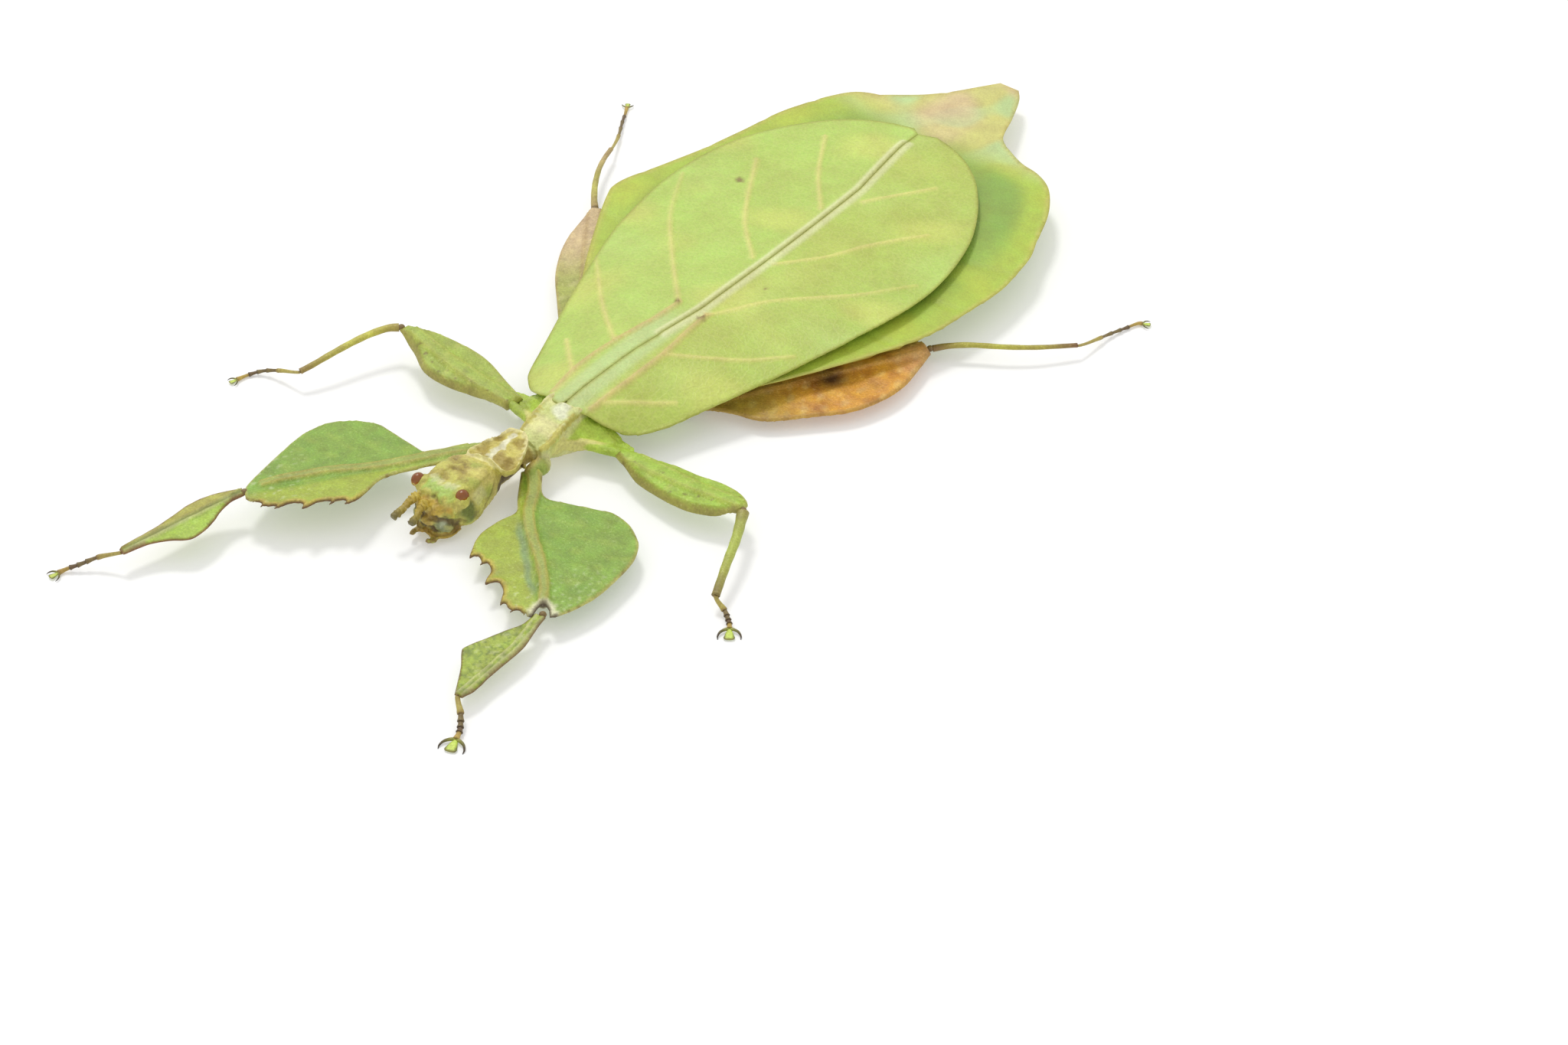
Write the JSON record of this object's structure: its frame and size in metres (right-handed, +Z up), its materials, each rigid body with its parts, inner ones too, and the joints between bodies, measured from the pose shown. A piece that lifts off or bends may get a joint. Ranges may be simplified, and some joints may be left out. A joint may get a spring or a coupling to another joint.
{
  "type": "leaf insect",
  "caption": "Life-size leaf insect, a female with leaf-shaped wings and broad leafy legs, laid out on its belly as a still model.",
  "frame": {"origin": "on the floor under the middle line of the thorax, where the wings start; the centre of the flat under the thorax", "axes": "+Z up, +Y from the head to the tip of the tail, +X to the insect's own left side"},
  "size_m": [0.0616, 0.1068, 0.0052],
  "materials": {
    "wing_green": "satin",
    "abdomen_green": "satin",
    "thorax_tan": "satin",
    "head_olive": "satin",
    "pronotum_tan": "satin",
    "leg_green": "satin",
    "shin_green": "satin",
    "dry_orange": "satin",
    "foot_brown": "satin",
    "feeler_tan": "satin",
    "eye_brown": "glossy"
  },
  "bodies": {
    "root": {"abdomen": "abdomen_green", "antenna_left": "feeler_tan", "antenna_right": "feeler_tan", "eye_left": "eye_brown", "eye_right": "eye_brown", "fore_left_femur": "leg_green", "fore_left_tarsus": "foot_brown", "fore_left_tibia": "shin_green", "fore_right_femur": "leg_green", "fore_right_tarsus": "foot_brown", "fore_right_tibia": "shin_green", "head": "head_olive", "hind_left_femur": "dry_orange", "hind_left_tarsus": "foot_brown", "hind_left_tibia": "shin_green", "hind_right_femur": "leg_green", "hind_right_tarsus": "foot_brown", "hind_right_tibia": "shin_green", "mid_left_femur": "leg_green", "mid_left_tarsus": "foot_brown", "mid_left_tibia": "shin_green", "mid_right_femur": "leg_green", "mid_right_tarsus": "foot_brown", "mid_right_tibia": "shin_green", "pronotum": "pronotum_tan", "thorax": "thorax_tan", "wing_left": "wing_green", "wing_right": "wing_green"}
  },
  "joints": []
}
